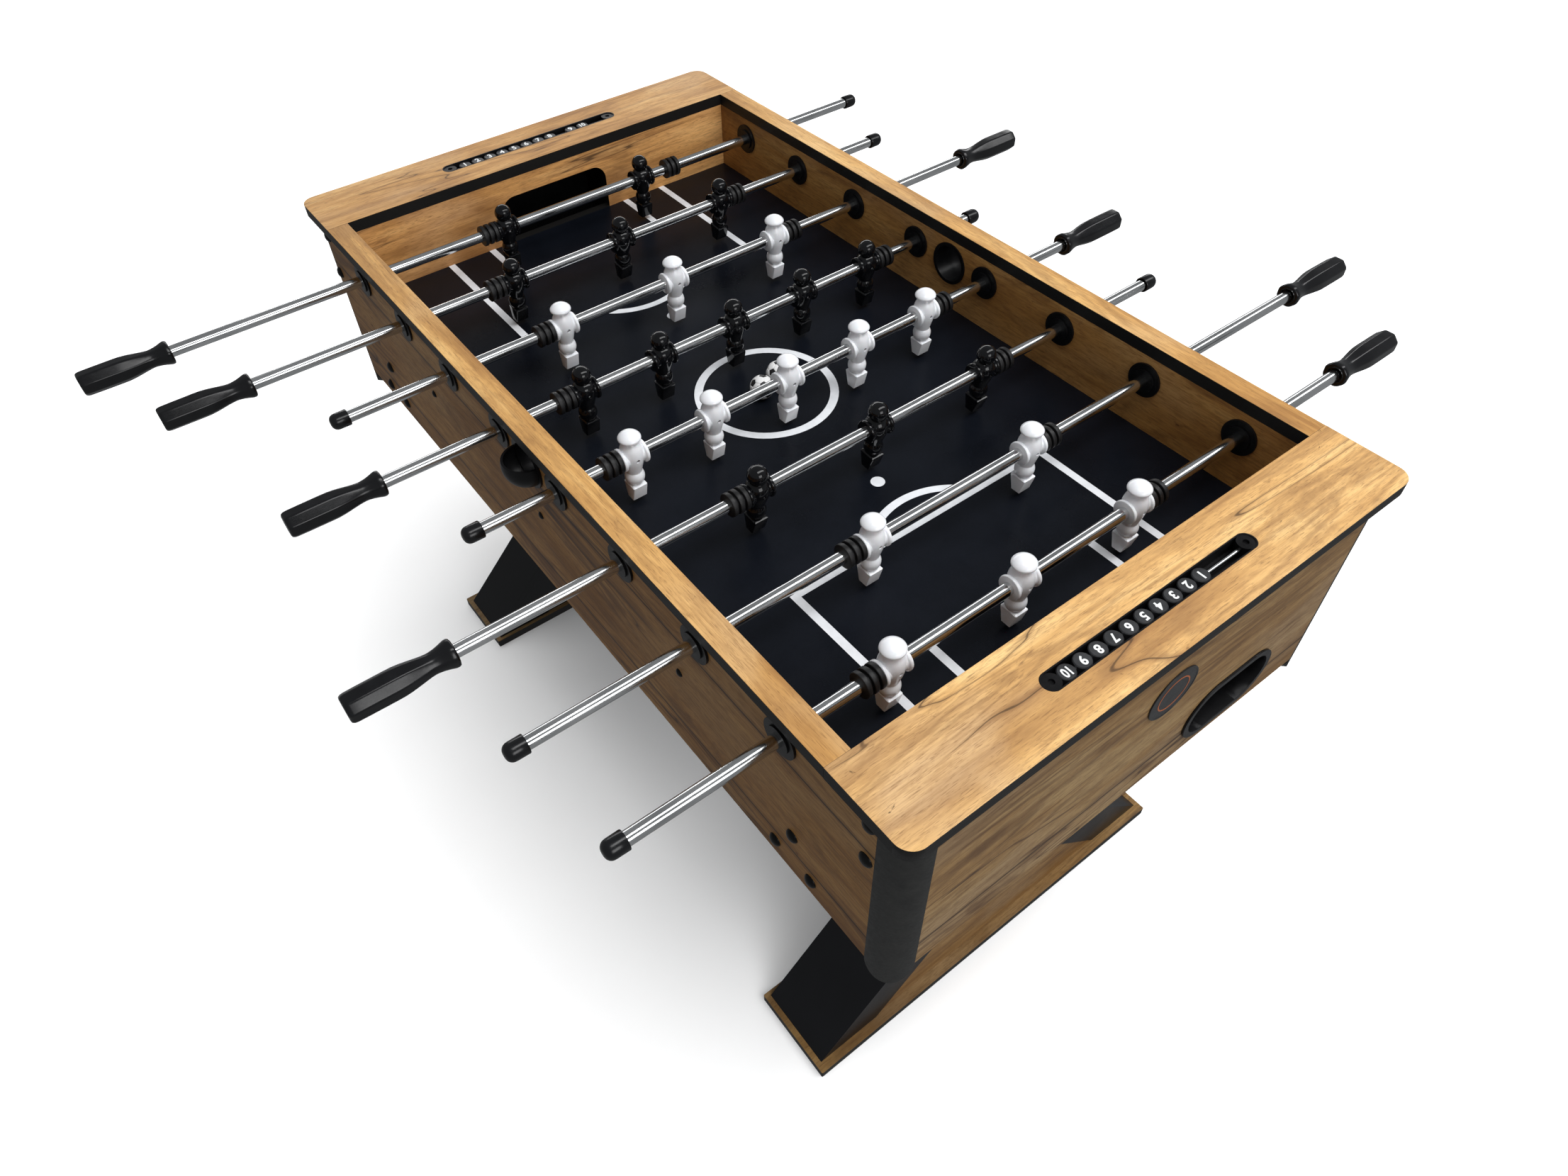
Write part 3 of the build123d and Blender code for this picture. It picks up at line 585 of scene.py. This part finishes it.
def grip_mesh():
    """A handle with its mouth at y = 0 and its end at 120 mm: a flared mouth, a waist and an eight-sided grip, from
    (radius, y, rounding) steps."""
    steps = [
        (8.1, 6, 1), (9.4, 5.5, 1), (9.6, 1.2, 1), (10.4, 0.3, 1), (13.2, 0, 0.9), (15.2, 0.8, 0.8), (16, 2.6, 0.75),
        (16, 5.2, 0.75), (15.3, 8.2, 0.8), (14, 12.5, 0.9), (12.7, 18, 0.95), (11.9, 24, 0.95), (11.8, 27, 0.9),
        (12.2, 32, 0.65), (13.1, 39, 0.30), (14.3, 47, 0.08), (15.4, 55, 0.02), (16.1, 63, 0), (16.2, 72, 0),
        (16.1, 100, 0), (15.9, 114, 0), (15.4, 117.2, 0.03), (14.2, 119.3, 0.08), (12.4, HANDLE_LENGTH, 0.2),
        (6, HANDLE_LENGTH, 0.5),
    ]
    bm = rings_to_faces(bmesh.new(), [octagon_ring(*step) for step in steps])
    return skin_mesh("grip", bm, [GRIP], sharp=50)


def cap_mesh():
    """A rod end cap with its mouth at y = 0 and its domed end at 24 mm."""
    profile = [(8.1, 4), (8.9, 3.4), (9.0, 0.8), (9.5, 0), (10.3, 0.1), (10.8, 0.8), (10.7, 15)]
    profile += arc_points((2.6, 16), 8, 0, 90, 8) + [(0.5, CAP_LENGTH)]
    return skin_mesh("cap", turned(profile, "Y"), [GRIP])


def bumper_mesh():
    """A rubber bumper with three round-edged ribs, centred on y = 0."""
    bore, shoulder, core, rim = 8.15, 10.8, 11, 15.5
    pitch, half_rib, edge = 9.25, 3, 1.1
    profile = [(bore, -BUMPER_HALF), (shoulder, -BUMPER_HALF)]
    for rib in (-pitch, 0, pitch):
        profile += [(core, rib - half_rib)] if rib > -pitch else []
        profile += arc_points((rim - edge, rib - half_rib + edge), edge, -90, 0, 4)
        profile += arc_points((rim - edge, rib + half_rib - edge), edge, 0, 90, 4)
        profile += [(core, rib + half_rib)] if rib < pitch else []
    profile += [(shoulder, BUMPER_HALF), (bore, BUMPER_HALF)]
    return skin_mesh("bumper", turned(profile, "Y"), [RUBBER])


PLAYERS = {team: player_mesh(team) for team in ("white", "black")}
GRIP_MESH = grip_mesh()
CAP_MESH = cap_mesh()
BUMPER_MESH = bumper_mesh()


def dress_row(row):
    """The tube, players, handle, cap and bumpers of one row, where its CAD nodes are."""
    team, count, turn, side = ROWS[row]
    low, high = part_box(f"row{row}_rod")
    x = (low.x + high.x) / 2
    z = (low.z + high.z) / 2
    start, end = low.y / MM, high.y / MM
    outline = [(0, start), (ROD_RADIUS, start), (ROD_RADIUS, end), (0, end)]
    made = mesh_object(f"row{row}_tube", turned(outline, "Y", TUBE_ROUND, centre=(x, 0, z)), [CHROME])
    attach(made, f"row{row}_players")
    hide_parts(f"row{row}_rod")
    swing = Matrix.Rotation(radians(turn), 4, "Y")
    body = f"row{row}_players"
    low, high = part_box(f"row{row}_figures")
    first = low.y + FIGURE_HALF
    gap = (high.y - FIGURE_HALF - first) / (count - 1)
    for i in range(count):
        place = Matrix.Translation((x, first + gap * i, z)) @ swing
        made = place_shared(f"row{row}_player{i + 1}", PLAYERS[team], place, body)
        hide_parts(f"row{row}_figures")
    low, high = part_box(f"row{row}_grips")
    ends = {1: high.y, -1: low.y}
    for name, data, length, way in (("handle", GRIP_MESH, HANDLE_LENGTH, side), ("cap", CAP_MESH, CAP_LENGTH, -side)):
        facing = Matrix.Rotation(0 if way > 0 else pi, 4, "Z")
        place = Matrix.Translation((x, ends[way] - way * length * MM, z)) @ swing @ facing
        made = place_shared(f"row{row}_{name}", data, place, body)
        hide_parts(f"row{row}_grips")
    low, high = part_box(f"row{row}_bumpers")
    for name, y in (("front", low.y + BUMPER_HALF * MM), ("rear", high.y - BUMPER_HALF * MM)):
        place = Matrix.Translation((x, y, z))
        made = place_shared(f"row{row}_bumper_{name}", BUMPER_MESH, place, f"row{row}_slider")
        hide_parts(f"row{row}_bumpers")


for row in ROWS:
    dress_row(row)


# Balls

def ball_mesh(radius):
    """A ball of five- and six-sided panels with a seam between them."""
    bm = bmesh.new()
    bmesh.ops.create_icosphere(bm, subdivisions=1, radius=radius)
    bmesh.ops.bevel(bm, geom=list(bm.verts), offset=100 / 3, offset_type="PERCENT", affect="VERTICES", segments=1)
    sunk = bm.verts.layers.float.new("sunk")
    for face in bm.faces:
        face.material_index = 1 if len(face.verts) == 5 else 0
    seam = set(bmesh.ops.inset_individual(bm, faces=list(bm.faces), thickness=0.028 * radius)["faces"])
    panels = {vert for face in bm.faces if face not in seam for vert in face.verts}
    for vert in bm.verts:
        vert[sunk] = 0.0 if vert in panels else 1.0
    bmesh.ops.poke(bm, faces=[face for face in bm.faces if len(face.verts) > 4])
    bmesh.ops.subdivide_edges(bm, edges=list(bm.edges), cuts=3, use_grid_fill=True)
    for vert in bm.verts:
        vert.co = vert.co.normalized() * (radius - vert[sunk] * 0.02 * radius)
    return bm


for which, body, tilt in (("a", "ball_one", (0.4, 0.7, 0.2)), ("b", "ball_two", (1.9, 0.3, 1.1))):
    low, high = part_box(f"ball_{which}")
    made = mesh_object(f"panelled_ball_{which}", ball_mesh((high.x - low.x) / 2), [BALL_WHITE, BALL_BLACK], sharp=60)
    made.rotation_euler = tilt
    made.location = (low + high) / 2
    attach(made, body)
    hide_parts(f"ball_{which}")


# Markings on the field

FIELD_END, _, FIELD_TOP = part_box("playfield")[1]
PAINT_TOP = FIELD_TOP + 0.15 * MM


def painted(bm, line):
    """A line's points on the field's paint."""
    return [bm.verts.new((x, y, PAINT_TOP)) for x, y in line]


def flat_strip(bm, outer, inner, closed=False):
    """A painted strip between two lines of (x, y) points on the field."""
    rows = painted(bm, outer), painted(bm, inner)
    count = len(outer)
    for i in range(count if closed else count - 1):
        j = (i + 1) % count
        bm.faces.new((rows[0][i], rows[0][j], rows[1][j], rows[1][i]))


def arc_line(x, radius, start, end, steps):
    """Points on an arc about (x, 0) on the field, with angles in degrees from +X."""
    angles = [radians(start + (end - start) * i / steps) for i in range(steps + 1)]
    return [(x + radius * cos(angle), radius * sin(angle)) for angle in angles]


def circle_line(x, radius, steps):
    return arc_line(x, radius, 0, 360, steps)[:-1]


def field_lines():
    """The centre circle, the spots, the penalty boxes with their arcs, and the goal-area lines."""
    circle_outer, circle_inner = 0.102, 0.090
    spot_x, spot_radius = 0.238, 0.0095
    box_front, box_side = 0.320, 0.210
    area_front, area_side = 0.472, 0.136
    arc_x, arc_outer = 0.392, 0.115
    line = 0.011  # width
    bm = bmesh.new()
    flat_strip(bm, circle_line(0, circle_outer, 64), circle_line(0, circle_inner, 64), closed=True)
    for way in (-1, 1):
        bm.faces.new(painted(bm, circle_line(way * spot_x, spot_radius, 32)))
        outer = [(FIELD_END, box_side), (box_front, box_side), (box_front, -box_side), (FIELD_END, -box_side)]
        inner = [(FIELD_END, box_side - line), (box_front + line, box_side - line),
                 (box_front + line, line - box_side), (FIELD_END, line - box_side)]
        flat_strip(bm, [(way * x, y) for x, y in outer], [(way * x, y) for x, y in inner])
        for side in (-1, 1):
            outer = [(way * area_front, side * area_side), (way * FIELD_END, side * area_side)]
            inner = [(x, y - side * line) for x, y in outer]
            flat_strip(bm, outer, inner)
        arcs = []
        for radius in (arc_outer, arc_outer - line):
            half = degrees(acos((arc_x - box_front) / radius))  # where the arc meets the box's front
            arcs.append([(way * (x + arc_x), y) for x, y in arc_line(0, radius, 180 - half, 180 + half, 32)])
        flat_strip(bm, *arcs)
    bmesh.ops.recalc_face_normals(bm, faces=list(bm.faces))
    for face in bm.faces:
        if face.normal.z < 0:
            face.normal_flip()
    return bm


lines = mesh_object("field_lines", field_lines(), [LINE_PAINT])
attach(lines, "cabinet")


# Liners under the chutes

def prism(bm, outline, x0, x1):
    """A flat-ended piece along X from an outline of (y, z) points, in mm."""
    rings_to_faces(bm, [[Vector((x, y, z)) * MM for y, z in outline] for x in (x0, x1)])


def return_liner():
    """A black moulded liner that closes the space under the chute's sloping floor, behind the ball return."""
    near_side, far_side, floor_z, slope_z = 88, 180, 592.4, 632.6
    inner_x, outer_x, wall = 600.2, 664.8, 2
    bm = bmesh.new()
    prism(bm, [(near_side - wall, floor_z - wall), (far_side, floor_z - wall), (far_side, floor_z),
               (near_side, floor_z), (near_side, slope_z), (near_side - wall, slope_z)], inner_x, outer_x)
    prism(bm, [(near_side, floor_z), (far_side, floor_z), (near_side, slope_z)], inner_x, inner_x + wall)
    bmesh.ops.recalc_face_normals(bm, faces=list(bm.faces))
    return bm


for name, turn in (("near", 0), ("far", pi)):
    liner = mesh_object(f"return_liner_{name}", return_liner(), [BLACK_PLASTIC])
    liner.rotation_euler = (0, 0, turn)
    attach(liner, "cabinet")


# Digits on the scoring beads

def digit_pieces(name, node, count, first, body, near):
    """White numerals printed on the tops of one group of beads, counted from the rear at the near end and from the
    front at the far end."""
    size, swell, thickness, rise = 15 * MM, 0.42 * MM, 0.06 * MM, 0.05 * MM
    squeeze_one, squeeze_two = 0.95, 0.78  # across, for one and two digits
    low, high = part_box(node)
    x = (low.x + high.x) / 2
    start = high.y - BEAD_RADIUS if near else low.y + BEAD_RADIUS
    end = low.y + BEAD_RADIUS if near else high.y - BEAD_RADIUS
    step = (end - start) / (count - 1)
    bm = bmesh.new()
    for i in range(count):
        label = str(first + i)
        curve = bpy.data.curves.new("numeral", "FONT")
        curve.body = label
        curve.align_x = "CENTER"
        curve.align_y = "CENTER"
        curve.size = size
        curve.offset = swell
        curve.extrude = thickness
        curve.resolution_u = 6
        holder = scene_object("numeral", curve)
        mesh = evaluated_mesh(holder)
        spin = Matrix.Rotation(-pi / 2 if near else pi / 2, 4, "Z")
        squeeze = Matrix.Diagonal((squeeze_two if len(label) > 1 else squeeze_one, 1, 1, 1))
        mesh.transform(Matrix.Translation((x, start + step * i, high.z + rise)) @ spin @ squeeze)
        bm.from_mesh(mesh)
        bpy.data.objects.remove(holder)
    made = mesh_object(name, bm, [DIGIT])
    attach(made, body)


digit_pieces("numerals_near", "beads_near", 10, 1, "near_beads", True)
digit_pieces("numerals_far_low", "beads_far_low", 8, 1, "far_beads_low", False)
digit_pieces("numerals_far_high", "beads_far_high", 2, 9, "far_beads_high", False)


# A plain badge on the near end panel

def badge():
    """A shallow dark disc with a raised rim and one plain ring."""
    centre = (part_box("end_panel_near")[1].x, 0.017, 0.760)
    face = [(0, 0.1), (37.5, 0.1), (37.5, 1.4), (37.1, 1.8), (35.6, 1.8), (35.2, 1.4), (0, 1.4)]
    ring = [(0, 1.3), (22.8, 1.35), (22.8, 1.6), (24.6, 1.6), (24.6, 1.35), (0, 1.31)]
    bm = turned(face, "X", BADGE_ROUND, centre=centre)
    return turned(ring, "X", BADGE_ROUND, bm, 1, centre)


badge_piece = mesh_object("end_badge", badge(), [BADGE_FACE, BADGE_RING])
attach(badge_piece, "cabinet")


# Floor, light and camera

def floor():
    """A plain pale floor that fills the view, a little under the feet, and isn't mirrored in the table."""
    g = Graph("floor_pale_matte", roughness=0.9, Specular_IOR_Level=0.1)
    cloud = g.noise(g.place(), 1.3, 3, 0.5)
    g.colour(g.ramp(cloud, (0.3, (0.86, 0.86, 0.86)), (0.7, (0.90, 0.90, 0.90))))
    g.bump(g.noise(g.place(), 120, 3), 0.05, 0.2 * MM)
    bm = bmesh.new()
    bmesh.ops.create_grid(bm, x_segments=24, y_segments=24, size=30)
    made = mesh_object("floor", bm, [g.material])
    made.location = (0, 0, -0.5 * MM)
    made.visible_diffuse = False
    made.visible_glossy = False
    return made


def sky(colour, strength):
    """An even light from all round."""
    world = bpy.data.worlds.new("studio")
    world.use_nodes = True
    background = world.node_tree.nodes["Background"]
    background.inputs[0].default_value = (*colour, 1)
    background.inputs[1].default_value = strength
    bpy.context.scene.world = world


def lamp(name, kind, place, aim, energy, **settings):
    """A light at a place that points at aim."""
    data = bpy.data.lights.new(name, kind)
    data.energy = energy
    for key, value in settings.items():
        setattr(data, key, value)
    made = scene_object(name, data)
    made.location = place
    made.rotation_euler = (Vector(aim) - Vector(place)).to_track_quat("-Z", "Y").to_euler()
    return made


def camera():
    """The view of the table from above its front near corner, solved from the edges seen in the photograph."""
    place = (0.9681, -0.7054, 1.6855)
    right = Vector((0.60098969, 0.79891781, -0.02327496))
    up = Vector((-0.57861434, 0.45498556, 0.67689998))
    back = Vector((0.55137722, -0.39334269, 0.73570693))
    data = bpy.data.cameras.new("view")
    data.sensor_width = 36
    data.lens = 24.464
    data.shift_x = 0.0128
    data.shift_y = -0.0153
    data.clip_end = 200
    made = scene_object("view", data)
    made.matrix_world = Matrix.Translation(place) @ Matrix((right, up, back)).transposed().to_4x4()
    bpy.context.scene.camera = made


ground = floor()
sky((0.96, 0.98, 1.0), 0.24)
sun = lamp("sun", "SUN", (1.1, 1.1, 4), (0, 0, 0), 2.0, angle=radians(55))
sun.visible_glossy = False

# A wide light that only the floor receives, so that it's nearly white with a soft shadow
lift = lamp("floor_lift", "SUN", (0, 0, 4), (0, 0, 0), 1.9, angle=radians(80))
lift.visible_glossy = False
only_floor = bpy.data.collections.new("floor_only")
only_floor.objects.link(ground)
lift.light_linking.receiver_collection = only_floor

lamp("softbox_over", "AREA", (1.0, 1.6, 2.9), (1.0, 1.6, 0), 46, shape="RECTANGLE", size=0.7, size_y=4.4)
lamp("softbox_far", "AREA", (-3.6, 2.4, 1.9), (0, 0.6, 0.8), 44, shape="RECTANGLE", size=5.6, size_y=0.7)
lamp("softbox_near", "AREA", (3.0, -0.2, 2.0), (0.3, 0, 0.6), 22, shape="RECTANGLE", size=1.6, size_y=1.2)
camera()
bpy.context.scene.view_settings.view_transform = "Standard"
